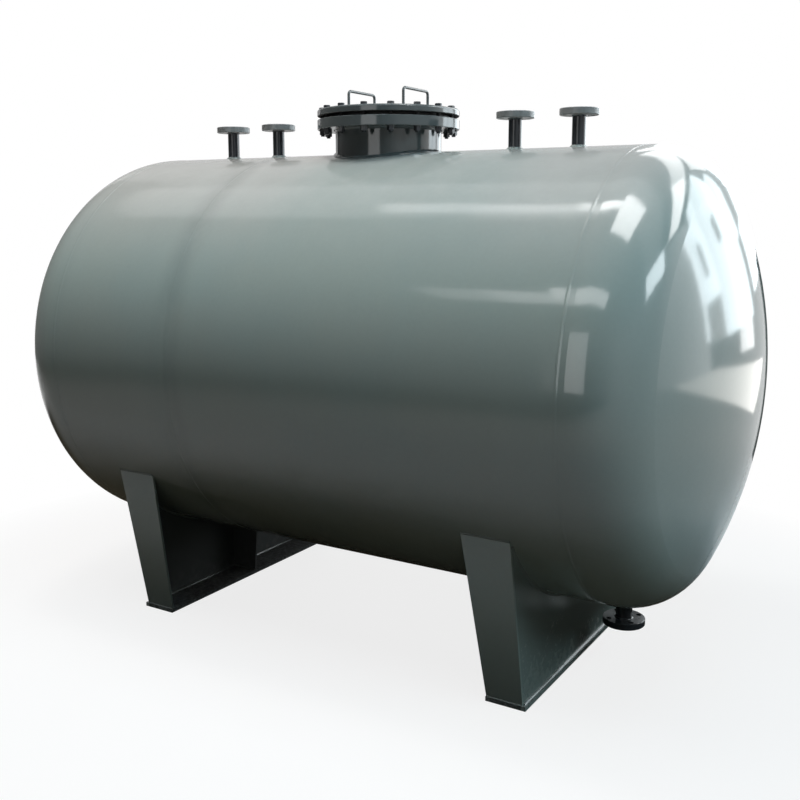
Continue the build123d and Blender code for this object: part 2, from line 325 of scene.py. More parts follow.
class Finish:
    """Node tree that is written as expressions."""

    def __init__(self, tree):
        self.tree = tree
        tree.nodes.clear()

    def node(self, kind, settings=None, sockets=None, output=0):
        """Add a node with its settings and the values or links of its sockets."""
        made = self.tree.nodes.new(kind)
        for name, value in (settings or {}).items():
            setattr(made, name, value)
        for name, value in (sockets or {}).items():
            if isinstance(value, Tone):
                self.tree.links.new(value.socket, made.inputs[name])
            else:
                made.inputs[name].default_value = value
        return Tone(self, made.outputs[output]) if made.outputs else None

    def maths(self, operation, *values):
        return self.node("ShaderNodeMath", {"operation": operation}, dict(enumerate(values)))

    def place(self):
        """Object coordinates, which are the tank's own frame."""
        return self.node("ShaderNodeTexCoord", output="Object")

    def axes(self, vector):
        """The three numbers of a vector."""
        parts = self.node("ShaderNodeSeparateXYZ", sockets={"Vector": vector})
        return [Tone(self, socket) for socket in parts.socket.node.outputs]

    def stretch(self, vector, scale):
        return self.node("ShaderNodeMapping", sockets={"Vector": vector, "Scale": scale})

    def noise(self, vector, scale, detail=2.0, roughness=0.5):
        return self.node(
            "ShaderNodeTexNoise",
            sockets={"Vector": vector, "Scale": scale, "Detail": detail, "Roughness": roughness})

    def mix(self, share, first, second):
        """Colour between two colours."""
        return self.node(
            "ShaderNodeMix", {"data_type": "RGBA"}, {0: share, 6: first, 7: second}, output=2)

    def shade(self, colour, amount):
        """Colour made lighter or darker by a number about 1."""
        return self.node(
            "ShaderNodeVectorMath", {"operation": "SCALE"}, {"Vector": colour, "Scale": amount})

    def bump(self, height, distance, normal=None):
        sockets = {"Height": height, "Distance": distance, "Strength": 1.0}
        if normal is not None:
            sockets["Normal"] = normal
        return self.node("ShaderNodeBump", sockets=sockets)

    def surface(self, **sockets):
        """Principled shader on the output, with sockets named by their labels."""
        shader = self.node(
            "ShaderNodeBsdfPrincipled",
            sockets={name.replace("_", " "): value for name, value in sockets.items()})
        self.node("ShaderNodeOutputMaterial", sockets={"Surface": shader})


def new_finish(name):
    """Empty material and the finish that fills it."""
    material = bpy.data.materials.get(name) or bpy.data.materials.new(name)
    material.use_nodes = True
    return material, Finish(material.node_tree)


def distance(first, second):
    """Length of a vector from its two parts."""
    return (first * first + second * second).step("POWER", 0.5)


def enamel(name, fitting=None, wear=None, floor_dust=0.0, waves=0.0013, ripple=0.0, dull=0.0,
           seams=(), gloss=0.5, shade_level=1.0, shade_mask=None, poles=False):
    """Sprayed enamel: clouded colour, faint runs, dust on top, rubbed edges and orange peel.

    A fitting has a colour of its own. Without one the enamel is lighter and greyer along the crest,
    as painted light where the light falls on top, and less so and darker about the manhole, as
    painted shade. The level given darkens the paint as painted shade, and the mask given blackens
    with painted shade the places that it marks. The seams are drawn in and darkened beside them,
    partly as a weld stain and partly as painted shade, and poles mends the normal at the heads'
    poles.
    """
    paint = bpy.context.scene.tank_paint
    material, finish = new_finish(name)
    place = finish.place()
    x, y, z = finish.axes(place)
    outside = finish.node("ShaderNodeNewGeometry", output="Normal")
    facing = finish.axes(outside)[2]

    cloud = finish.noise(place, 1.3, 4.0, 0.55)
    fleck = finish.noise(place, 70.0, 2.0)
    runs = finish.noise(finish.stretch(place, (11.0, 11.0, 0.8)), 1.0, 3.0)
    # The level given darkens the whole paint as painted shade
    tone = (0.9 + 0.1 * cloud + 0.05 * fleck + 0.05 * runs) * shade_level
    if fitting is None:
        film = finish.mix(
            cloud.ramp(0.36, 0.66), tuple(paint.enamel_colour), tuple(paint.cool_colour))
        # Painted light along the crest, and painted shade about the manhole, where it is less light
        # and darker
        crest = facing.ramp(0.35, 0.98)
        manhole_shade = crest * (1.0 - abs(x - MANHOLE_SHADE_X).ramp(0.25, 0.6))
        colour = finish.mix(0.95 * crest - 0.45 * manhole_shade, film, tuple(paint.crest_light_colour))
        tone = tone * (1.0 - 0.12 * manhole_shade)
    else:
        colour = tuple(fitting)[:3]
    # Beside each seam the colour is darkened, partly as a weld stain and partly as painted shade
    for seam_x, _, stain_and_shade, reach in seams:
        beside = 1.0 - abs(x - seam_x).ramp(0.0, reach)
        tone = tone * (1.0 - stain_and_shade * beside * runs.ramp(0.2, 0.6))
    # Painted shade: the mask given blackens the paint where shade falls
    painted_shade = shade_mask((x, y, z)) if shade_mask is not None else 0.0
    colour = finish.shade(colour, tone * (1.0 - 0.92 * painted_shade))

    settled = finish.noise(place, 9.0, 5.0, 0.65).ramp(0.38, 0.74)
    dust = facing.ramp(0.35, 1.0) * settled * paint.dust
    if floor_dust:
        low = 1.0 - z.ramp(0.0, 0.16)
        dust = dust + low * finish.noise(place, 24.0, 4.0, 0.7).ramp(0.42, 0.72) * floor_dust
    colour = finish.mix(dust.at_most(0.8), colour, tuple(paint.dust_colour))
    rough = paint.roughness + dull - 0.04 + 0.06 * cloud + 0.03 * fleck + 0.45 * dust + 0.6 * painted_shade
    if wear is not None:
        rubbed = wear((x, y, z)) * finish.noise(place, 60.0, 4.0, 0.7).ramp(0.4, 0.7)
        colour = finish.mix(rubbed * 0.4, colour, tuple(paint.primer_colour))
        rough = rough + 0.12 * rubbed

    normal = pole_normal(finish, outside, (x, y, z)) if poles else None
    if waves:
        normal = finish.bump(finish.noise(place, 2.1, 1.0), waves, normal)
    for seam_x, dip, _, _ in seams:
        normal = finish.bump(abs(x - seam_x).ramp(0.0, 0.07), dip, normal)
    if ripple:
        normal = finish.bump(finish.noise(place, 240.0, 1.0), ripple, normal)
    normal = finish.bump(finish.noise(place, 190.0, 2.0), 0.000016, normal)
    finish.surface(Base_Color=colour, Roughness=rough, Normal=normal, Specular_IOR_Level=gloss)
    return material


def pole_normal(finish, outside, axes):
    """Normal of the crowns' spheres at the poles of the heads, where the mesh's own is unsure."""
    x, y, z = axes
    rise = z - AXIS_Z
    along = x.step("SIGN") * CROWN_RADIUS
    spoke = finish.node("ShaderNodeCombineXYZ", sockets={"X": along, "Y": y, "Z": rise})
    sphere = finish.node("ShaderNodeVectorMath", {"operation": "NORMALIZE"}, {0: spoke})
    away = distance(y, rise).ramp(*POLE_PATCH)
    return finish.node(
        "ShaderNodeMix", {"data_type": "VECTOR"}, {0: away, 4: sphere, 5: outside}, output=1)


def rim_wear(rim_radius, levels, band=0.003):
    """Wear on the edges of round plates about the manhole's axis, at the given levels."""

    def mask(axes):
        x, y, z = axes
        edge = 0.0
        for level in levels:
            edge = edge + (1.0 - abs(z - level).ramp(0.0, band))
        return edge * distance(x, y).ramp(rim_radius - 2 * band, rim_radius - band)

    return mask


def foot_wear(axes):
    """Wear at the foot of the saddles."""
    return 1.0 - axes[2].ramp(0.012, 0.03)


def joint_shade(axes):
    """Painted shade in the gap between the manhole's flange and its cover."""
    low, high = JOINT_LEVELS
    z = axes[2]
    return z.ramp(low - 0.0015, low) * (1.0 - z.ramp(high, high + 0.0015))


def pocket_shade(axes):
    """Painted shade between the webs of the two saddles."""
    return 0.82 * (1.0 - abs(axes[0]).ramp(WEB_FACE - 0.006, WEB_FACE - 0.003))


def rubber(name):
    """Black sheet rubber with a dull grain."""
    paint = bpy.context.scene.tank_paint
    material, finish = new_finish(name)
    place = finish.place()
    grain = finish.noise(place, 900.0, 3.0)
    bloom = finish.noise(place, 35.0, 4.0, 0.6)
    colour = finish.mix(bloom * 0.06, tuple(paint.gasket_colour), tuple(paint.dust_colour))
    finish.surface(
        Base_Color=colour, Roughness=0.6 + 0.25 * grain, Normal=finish.bump(grain, 0.00008))
    return material


def coat_nodes(nodes, material):
    """Give a finish to the fixed solids."""
    for name in nodes:
        for slot in frame["nodes"][name].material_slots:
            slot.material = material


def loop_of(mesh, points):
    """Closed loop of edges through a few points."""
    corners = [mesh.verts.new(point) for point in points]
    edges = [mesh.edges.new(pair) for pair in zip(corners, corners[1:] + corners[:1])]
    return corners + edges


def turn_loop(mesh, points, centre, axis, angle=math.tau, steps=96):
    """Sweep a loop round an axis; part of a turn is closed at both ends."""
    full = abs(angle - math.tau) < 1e-6
    bmesh.ops.spin(
        mesh, geom=loop_of(mesh, points), cent=centre, axis=axis, dvec=(0, 0, 0), angle=angle,
        steps=steps, use_merge=full)
    if not full:
        close_ends(mesh)


def push_loop(mesh, points, travel, steps=2):
    """Sweep a loop along a straight line and close both ends."""
    bmesh.ops.spin(
        mesh, geom=loop_of(mesh, points), cent=(0, 0, 0), axis=(0, 0, 1), dvec=travel / steps,
        angle=0, steps=steps, use_merge=False)
    close_ends(mesh)


def close_ends(mesh):
    bmesh.ops.holes_fill(mesh, edges=[edge for edge in mesh.edges if edge.is_boundary])


def fillet_loop(root, first, second, leg, bulge=0.12, steps=4):
    """Section of a fillet weld between two faces that leave the root in two directions."""
    sunk = 0.0006
    points = [root - (first + second) * sunk]
    points.append(root + first * leg - second * sunk)
    for step in range(steps + 1):
        share = step / steps
        swell = 1 + bulge * 4 * share * (1 - share)
        points.append(root + (first * (1 - share) + second * share) * leg * swell)
    points.append(root + second * leg - first * sunk)
    return points


def bead_loop(root, across, up, width, height, steps=6):
    """Section of a low bead on a face."""
    sunk = 0.0015
    points = [root + across * (width / 2) - up * sunk]
    for step in range(steps + 1):
        share = 1 - 2 * step / steps
        points.append(root + across * (width / 2 * share) + up * (height * (1 - share * share)))
    points.append(root - across * (width / 2) - up * sunk)
    return points


def hand_made(mesh, root_of, swing=0.1):
    """Vary a bead's size along its run, as a hand-held torch does."""
    for vertex in mesh.verts:
        root, run = root_of(vertex.co)
        wave = sum(share * math.sin(run / pace + phase) for share, pace, phase in BEAD_WAVES)
        vertex.co = root + (vertex.co - root) * (1 + swing * wave)


def place_piece(mesh, name, material, sharp=40):
    """Turn a mesh into a piece of the tank that rides on its body."""
    bmesh.ops.remove_doubles(mesh, verts=mesh.verts, dist=1e-6)
    bmesh.ops.recalc_face_normals(mesh, faces=mesh.faces)
    for face in mesh.faces:
        face.smooth = True
    data = bpy.data.meshes.new(name)
    mesh.to_mesh(data)
    mesh.free()
    data.set_sharp_from_angle(angle=math.radians(sharp))
    data.materials.append(material)
    piece = bpy.data.objects.new(name, data)
    bpy.context.scene.collection.objects.link(piece)
    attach(piece, ROOT)
    return piece


class FUELTANK_OT_paint_shell(bpy.types.Operator):
    """Paint the shell's courses and the heads"""

    bl_idname = "fuel_tank.paint_shell"
    bl_label = "Paint Shell and Heads"

    def execute(self, context):
        coat_nodes(SHELL_NODES, enamel("shell_enamel", seams=SEAMS, poles=True))
        return {"FINISHED"}


class FUELTANK_OT_paint_saddles(bpy.types.Operator):
    """Paint the saddles, with dust and rubbed edges near the floor"""

    bl_idname = "fuel_tank.paint_saddles"
    bl_label = "Paint Saddles"

    def execute(self, context):
        plates = [name for name in SADDLE_NODES if name.endswith("end_plate")]
        others = [name for name in SADDLE_NODES if name not in plates]
        used = {"wear": foot_wear, "floor_dust": 0.1, "waves": 0.0006}
        coat_nodes(plates, enamel("end_plate_enamel", dull=0.08, **used))
        # Webs, ribs and base plates darker as painted shade, and blackened with painted shade in
        # the pocket between the webs
        coat_nodes(
            others,
            enamel("web_enamel", dull=0.16, gloss=0.3, shade_level=0.74, shade_mask=pocket_shade, **used))
        return {"FINISHED"}


class FUELTANK_OT_paint_fittings(bpy.types.Operator):
    """Paint the manhole, its handles and the nozzles, and give the gasket its rubber"""

    bl_idname = "fuel_tank.paint_fittings"
    bl_label = "Paint Fittings"

    def execute(self, context):
        paint = context.scene.tank_paint
        rim_radius = (FLANGE_HIGH.x - FLANGE_LOW.x) / 2
        wear = rim_wear(rim_radius, (FLANGE_LOW.z, *JOINT_LEVELS, COVER_HIGH.z))
        # Painted shade blackens the gap between the flange and the cover
        coat_nodes(
            [*MANHOLE_NODES, *HANDLES],
            enamel(
                "manhole_enamel", paint.manhole_colour, wear=wear, waves=0.0002, gloss=0.42,
                shade_mask=joint_shade))
        flanges = [f"{nozzle}_flange" for nozzle in TOP_NOZZLES]
        pipes = [f"{nozzle}_pipe" for nozzle in TOP_NOZZLES]
        # Flanges lighter as painted light, pipes and the drain darker as painted shade
        coat_nodes(
            flanges,
            enamel("flange_enamel", paint.lit_flange_colour, waves=0.0001, dull=0.2, gloss=0.28))
        coat_nodes(
            [*pipes, f"{DRAIN}_pipe", f"{DRAIN}_flange"],
            enamel("pipe_enamel", paint.shaded_pipe_colour, waves=0.0001, gloss=0.28))
        coat_nodes(["manhole_gasket"], rubber("gasket_rubber"))
        return {"FINISHED"}


class FUELTANK_OT_weld_seams(bpy.types.Operator):
    """Add the beads of the shell's round and long seams"""

    bl_idname = "fuel_tank.weld_seams"
    bl_label = "Weld Shell Seams"

    def execute(self, context):
        welds = context.scene.tank_welds
        paint = enamel("seam_enamel", waves=0.0, ripple=0.0004, seams=SEAMS)
        axis = Vector((0, 0, AXIS_Z))
        size = welds.seam_width, welds.seam_height
        swing = 0.14
        rings = {
            "left_seam_weld": SHORT_LOW.x,
            "middle_seam_weld": LONG_LOW.x,
            "right_seam_weld": LONG_HIGH.x,
        }
        for name, seam_x in rings.items():
            mesh = bmesh.new()
            root = Vector((seam_x, 0, AXIS_Z + SHELL_RADIUS))
            loop = bead_loop(root, Vector((1, 0, 0)), Vector((0, 0, 1)), *size)
            turn_loop(mesh, loop, axis, (1, 0, 0), steps=720)

            def ring_root(point):
                out = Vector((0, point.y, point.z - AXIS_Z)).normalized()
                run = math.atan2(out.y, out.z) * SHELL_RADIUS
                return Vector((seam_x, 0, AXIS_Z)) + out * SHELL_RADIUS, run

            hand_made(mesh, ring_root, swing)
            place_piece(mesh, name, paint)

        runs = {
            "long_course_seam_weld": (LONG_LOW.x, LONG_HIGH.x, 62),
            "short_course_seam_weld": (SHORT_LOW.x, SHORT_HIGH.x, 108),
        }
        for name, (start, end, angle) in runs.items():
            mesh = bmesh.new()
            out = Vector((0, math.sin(math.radians(angle)), math.cos(math.radians(angle))))
            across = Vector((0, out.z, -out.y))
            base = axis + out * SHELL_RADIUS
            loop = bead_loop(base + Vector((start, 0, 0)), across, out, *size)
            push_loop(mesh, loop, Vector((end - start, 0, 0)), steps=int((end - start) / WELD_STEP))
            hand_made(mesh, lambda point: (base + Vector((point.x, 0, 0)), point.x), swing)
            place_piece(mesh, name, paint)
        return {"FINISHED"}


def ring_weld(centre, radius, leg, height, steps=72):
    """Fillet weld round an upright pipe, on a face below it or, for a negative height, above it."""
    mesh = bmesh.new()
    root = centre + Vector((radius, 0, 0))
    up = Vector((0, 0, height))
    turn_loop(mesh, fillet_loop(root, Vector((1, 0, 0)), up, leg), centre, (0, 0, 1), steps=steps)

    def round_root(point):
        flat = Vector((point.x - centre.x, point.y - centre.y, 0))
        return centre + flat.normalized() * radius, math.atan2(flat.y, flat.x) * radius

    hand_made(mesh, round_root)
    return mesh


def follow_shell(mesh, side):
    """Bend a ring that lies flat on the shell's crest or belly round the shell."""
    for vertex in mesh.verts:
        fall = SHELL_RADIUS - math.sqrt(SHELL_RADIUS ** 2 - vertex.co.y ** 2)
        vertex.co.z -= side * fall


class FUELTANK_OT_weld_fittings(bpy.types.Operator):
    """Add the welds of the manhole's neck, the nozzles and the handles"""

    bl_idname = "fuel_tank.weld_fittings"
    bl_label = "Weld Fittings"

    def execute(self, context):
        welds = context.scene.tank_welds
        colours = context.scene.tank_paint
        root_paint = enamel("root_weld_enamel", waves=0.0, ripple=0.0003)
        neck_paint = enamel("neck_weld_enamel", colours.manhole_colour, waves=0.0, ripple=0.0003)
        # Pipe colour darkened as painted shade
        pipe_paint = enamel("pipe_weld_enamel", colours.shaded_pipe_colour, waves=0.0, ripple=0.0003)
        crest = AXIS_Z + SHELL_RADIUS
        belly = AXIS_Z - SHELL_RADIUS
        neck_radius = (NECK_HIGH.x - NECK_LOW.x) / 2
        root_leg, hub_leg = welds.pipe_leg * 1.3, welds.hub_leg * 1.4

        mesh = ring_weld(Vector((0, 0, crest)), neck_radius, root_leg, 1, steps=240)
        follow_shell(mesh, 1)
        place_piece(mesh, "manhole_neck_root_weld", neck_paint)
        mesh = ring_weld(Vector((0, 0, FLANGE_LOW.z)), neck_radius, hub_leg, -1, steps=240)
        place_piece(mesh, "manhole_neck_hub_weld", neck_paint)

        for nozzle in (*TOP_NOZZLES, DRAIN):
            side = -1 if nozzle == DRAIN else 1
            low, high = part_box(f"{nozzle}_pipe")
            flange_low, flange_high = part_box(f"{nozzle}_flange")
            centre_x = (low.x + high.x) / 2
            radius = (high.x - low.x) / 2
            level = belly if side < 0 else crest
            mesh = ring_weld(Vector((centre_x, 0, level)), radius, welds.pipe_leg, side)
            follow_shell(mesh, side)
            place_piece(mesh, f"{nozzle}_root_weld", root_paint)
            back = flange_high.z if side < 0 else flange_low.z
            mesh = ring_weld(Vector((centre_x, 0, back)), radius, welds.hub_leg, -side)
            place_piece(mesh, f"{nozzle}_hub_weld", pipe_paint)

        for handle in HANDLES:
            low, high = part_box(handle)
            centre_x = (low.x + high.x) / 2
            radius = (high.x - low.x) / 2
            mesh = bmesh.new()
            for foot_y in (low.y + radius, high.y - radius):
                foot = Vector((centre_x, foot_y, low.z))
                add_mesh(mesh, ring_weld(foot, radius, welds.hub_leg, 1, steps=40))
            place_piece(mesh, f"{handle}_welds", neck_paint)
        return {"FINISHED"}


def add_mesh(mesh, other):
    """Move a second mesh into the first."""
    data = bpy.data.meshes.new("joined")
    other.to_mesh(data)
    other.free()
    mesh.from_mesh(data)
    bpy.data.meshes.remove(data)


def straight_weld(mesh, start, end, first, second, leg):
    """Fillet weld along a straight corner."""
    part = bmesh.new()
    travel = end - start
    along = travel.normalized()
    steps = max(2, int(travel.length / WELD_STEP))
    push_loop(part, fillet_loop(start, first, second, leg), travel, steps=steps)

    def line_root(point):
        run = (point - start).dot(along)
        return start + along * run, run

    hand_made(part, line_root)
    add_mesh(mesh, part)


class FUELTANK_OT_weld_saddles(bpy.types.Operator):
    """Add the fillet welds of both saddles"""

    bl_idname = "fuel_tank.weld_saddles"
    bl_label = "Weld Saddles"

    def execute(self, context):
        leg = context.scene.tank_welds.saddle_leg
        # Darker as painted shade, like the webs
        paint = enamel(
            "saddle_weld_enamel", wear=foot_wear, floor_dust=0.1, waves=0.0, ripple=0.0003,
            gloss=0.25, shade_level=0.7)
        up = Vector((0, 0, 1))
        for side, outward in (("left", -1), ("right", 1)):
            mesh = bmesh.new()
            base_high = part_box(f"{side}_saddle_base_plate")[1]
            web_low, web_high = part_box(f"{side}_saddle_web")
            level = base_high.z
            out_x = Vector((outward, 0, 0))
            faces = (web_high.x, web_low.x) if outward > 0 else (web_low.x, web_high.x)
            web_foot = self.foot(f"{side}_saddle_web", level)
            rib_foot = self.foot(f"{side}_saddle_rib", level)
            for face_x, direction in zip(faces, (out_x, -out_x)):
                start = Vector((face_x, web_foot[0].y, level))
                end = Vector((face_x, web_foot[1].y, level))
                straight_weld(mesh, start, end, direction, up, leg)
                self.web_arc(mesh, face_x, direction, web_high.y, leg)
            for front, place in ((-1, "front"), (1, "back")):
                near = (front + 1) // 2
                self.foot_weld(mesh, rib_foot, rib_foot[near].y, level, front, up, leg * 0.8)
                plate = f"{side}_saddle_{place}_end_plate"
                low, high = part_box(plate)
                plate_foot = self.foot(plate, level)
                edge = plate_foot[near]
                lean = self.lean(low, high, edge, front)
                margin = base_high.y - abs(edge.y)
                self.foot_weld(mesh, plate_foot, edge.y, level, front, lean, min(leg, margin))
                self.shell_bead(mesh, low, high, front, leg)
            place_piece(mesh, f"{side}_saddle_welds", paint)
        return {"FINISHED"}

    def foot_weld(self, mesh, foot, edge_y, level, front, up, leg):
        """Fillet weld along the foot of a plate that stands across the saddle."""
        start = Vector((foot[0].x, edge_y, level))
        end = Vector((foot[1].x, edge_y, level))
        straight_weld(mesh, start, end, Vector((0, front, 0)), up, leg)

    def foot(self, node, level):
        """Corners of a plate's outline at a level, from its solid."""
        vertices = frame["nodes"][node].data.vertices
        points = [vertex.co for vertex in vertices if abs(vertex.co.z - level) < MM]
        low = Vector(min(point[axis] for point in points) for axis in range(3))
        return low, Vector(max(point[axis] for point in points) for axis in range(3))

    def lean(self, low, high, edge, front):
        """Direction up the outer face of an end plate from its foot."""
        reach = max(abs(low.y), abs(high.y))
        return Vector((0, front * reach - edge.y, high.z - edge.z)).normalized()

    def shell_bead(self, mesh, low, high, front, leg):
        """Low bead where an end plate's outer face meets the shell."""
        part = bmesh.new()
        reach = max(abs(low.y), abs(high.y))
        drop = math.sqrt(SHELL_RADIUS ** 2 - reach ** 2)
        root = Vector((low.x, front * reach, AXIS_Z - drop))
        shell_out = Vector((0, front * reach, -drop)) / SHELL_RADIUS
        out = (shell_out + Vector((0, front, 0))).normalized()
        across = Vector((0, -out.z, out.y))
        loop = bead_loop(root, across, out, width=leg * 1.7, height=leg * 0.32)
        travel = Vector((high.x - low.x, 0, 0))
        push_loop(part, loop, travel, steps=int(travel.length / WELD_STEP))
        hand_made(part, lambda point: (Vector((point.x, root.y, root.z)), point.x), 0.08)
        add_mesh(mesh, part)

    def web_arc(self, mesh, face_x, direction, reach, leg):
        """Fillet weld between a web and the shell, round the shell's axis."""
        part = bmesh.new()
        axis = Vector((0, 0, AXIS_Z))
        half = math.asin(reach / SHELL_RADIUS)
        start = Vector((0, -math.sin(half), -math.cos(half)))
        root = axis + start * SHELL_RADIUS + Vector((face_x, 0, 0))
        turn_loop(
            part, fillet_loop(root, direction, start, leg), axis, (1, 0, 0), angle=2 * half,
            steps=int(2 * half * SHELL_RADIUS / WELD_STEP))

        def arc_root(point):
            out = Vector((0, point.y, point.z - AXIS_Z)).normalized()
            run = math.atan2(out.y, -out.z) * SHELL_RADIUS
            return Vector((face_x, 0, AXIS_Z)) + out * SHELL_RADIUS, run

        hand_made(part, arc_root)
        add_mesh(mesh, part)


def hexagon(mesh, centre, up, across, height, turn):
    """Hexagon head or nut whose outer face is rounded off by a cone."""
    older = set(mesh.verts)
    chamfer_radius = across / 2 * 0.96
    made = bmesh.ops.create_circle(mesh, cap_ends=True, radius=1, segments=36)["verts"]
    for vertex in made:
        angle = math.atan2(vertex.co.y, vertex.co.x)
        corner = (angle % math.radians(60)) - math.radians(30)
        reach = across / 2 / math.cos(corner)
        vertex.co = Vector((math.cos(angle), math.sin(angle), 0)) * reach
    foot = made[0].link_faces[0]
    raised = bmesh.ops.extrude_face_region(mesh, geom=[foot], use_keep_orig=True)["geom"]
    rim = {part for part in raised if isinstance(part, bmesh.types.BMVert)}
    faces = [part for part in raised if isinstance(part, bmesh.types.BMFace)]
    top = [face for face in faces if rim.issuperset(face.verts)]
    for vertex in rim:
        reach = vertex.co.xy.length
        vertex.co.z = height - (reach - chamfer_radius) * math.tan(math.radians(30))
    bmesh.ops.inset_region(mesh, faces=top, thickness=across * 0.02, use_even_offset=True)
    for vertex in top[0].verts:
        flat = Vector((vertex.co.x, vertex.co.y, 0)).normalized()
        vertex.co = flat * chamfer_radius + Vector((0, 0, height))
    stand = Vector((0, 0, 1)).rotation_difference(up).to_matrix().to_4x4()
    matrix = Matrix.Translation(centre) @ stand @ Matrix.Rotation(turn, 4, "Z")
    added = [vertex for vertex in mesh.verts if vertex not in older]
    bmesh.ops.transform(mesh, matrix=matrix, verts=added)


def lathe(mesh, profile, centre, steps=28):
    """Turned solid from a profile of radius and height that starts and ends on its upright axis."""
    points = [mesh.verts.new(centre + Vector((radius, 0, height))) for radius, height in profile]
    edges = [mesh.edges.new(pair) for pair in zip(points, points[1:])]
    bmesh.ops.spin(
        mesh, geom=points + edges, cent=centre, axis=(0, 0, 1), dvec=(0, 0, 0), angle=math.tau,
        steps=steps, use_merge=True)


class FUELTANK_OT_bolt_manhole(bpy.types.Operator):
    """Bolt the manhole's cover down: heads on top, washers and nuts below"""

    bl_idname = "fuel_tank.bolt_manhole"
    bl_label = "Bolt Manhole"

    def execute(self, context):
        bolts = context.scene.tank_bolts
        # Pipe colour darkened as painted shade, and painted shade in the gap between flange and
        # cover
        paint = enamel(
            "bolt_enamel", context.scene.tank_paint.shaded_pipe_colour, waves=0.0, ripple=0.0001, dull=0.1,
            gloss=0.28, shade_mask=joint_shade)
        circle = (COVER_HIGH.x - COVER_LOW.x) / 2 - bolts.rim_distance
        cover_top = COVER_HIGH.z
        back = FLANGE_LOW.z
        shank = bolts.shank_diameter / 2
        groove = shank * 0.9
        pitch = 0.003
        washer = 0.003
        washer_radius = shank * 1.83
        seat = back - washer
        nut_end = seat - bolts.nut_height
        tip = nut_end - bolts.thread_end
        turns = (0, 1.05)
        draw = random.Random(7)
        up = Vector((0, 0, 1))
        heads = bmesh.new()
        nuts = bmesh.new()
        for number in range(bolts.count):
            angle = math.tau * (number + 0.5) / bolts.count
            spot = Vector((math.cos(angle) * circle, math.sin(angle) * circle, 0))
            hexagon(
                heads, spot + up * cover_top, up, bolts.across_flats, bolts.head_height,
                draw.uniform(*turns))
            profile = [(0, cover_top + MM), (shank, cover_top + MM), (shank, nut_end)]
            level = nut_end
            while level - pitch > tip:
                profile += [(groove, level - pitch / 2), (shank, level - pitch)]
                level -= pitch
            profile += [(shank * 0.86, tip), (0, tip)]
            lathe(heads, profile, spot)
            ring = [
                (shank, back), (washer_radius, back), (washer_radius, back - washer * 0.8),
                (shank * 1.78, seat), (shank, seat)]
            loop = [spot + Vector((radius, 0, height)) for radius, height in ring]
            turn_loop(nuts, loop, spot, (0, 0, 1), steps=32)
            hexagon(
                nuts, spot + up * seat, -up, bolts.across_flats, bolts.nut_height,
                draw.uniform(*turns))
        place_piece(heads, "manhole_bolts", paint, sharp=28)
        place_piece(nuts, "manhole_nuts", paint, sharp=28)
        return {"FINISHED"}


def area_light(name, centre, target, width, height, brightness, glossy=True, diffuse=True):
    """Rectangular light that faces a point; its brightness is that of its face."""
    lamp = bpy.data.lights.new(name, "AREA")
    lamp.shape = "RECTANGLE"
    lamp.size = width
    lamp.size_y = height
    lamp.energy = brightness * math.pi * width * height
    light = bpy.data.objects.new(name, lamp)
    bpy.context.scene.collection.objects.link(light)
    light.location = centre
    light.rotation_euler = (Vector(target) - Vector(centre)).to_track_quat("-Z", "Y").to_euler()
    light.visible_camera = False
    light.visible_glossy = glossy
    light.visible_diffuse = diffuse
    return light


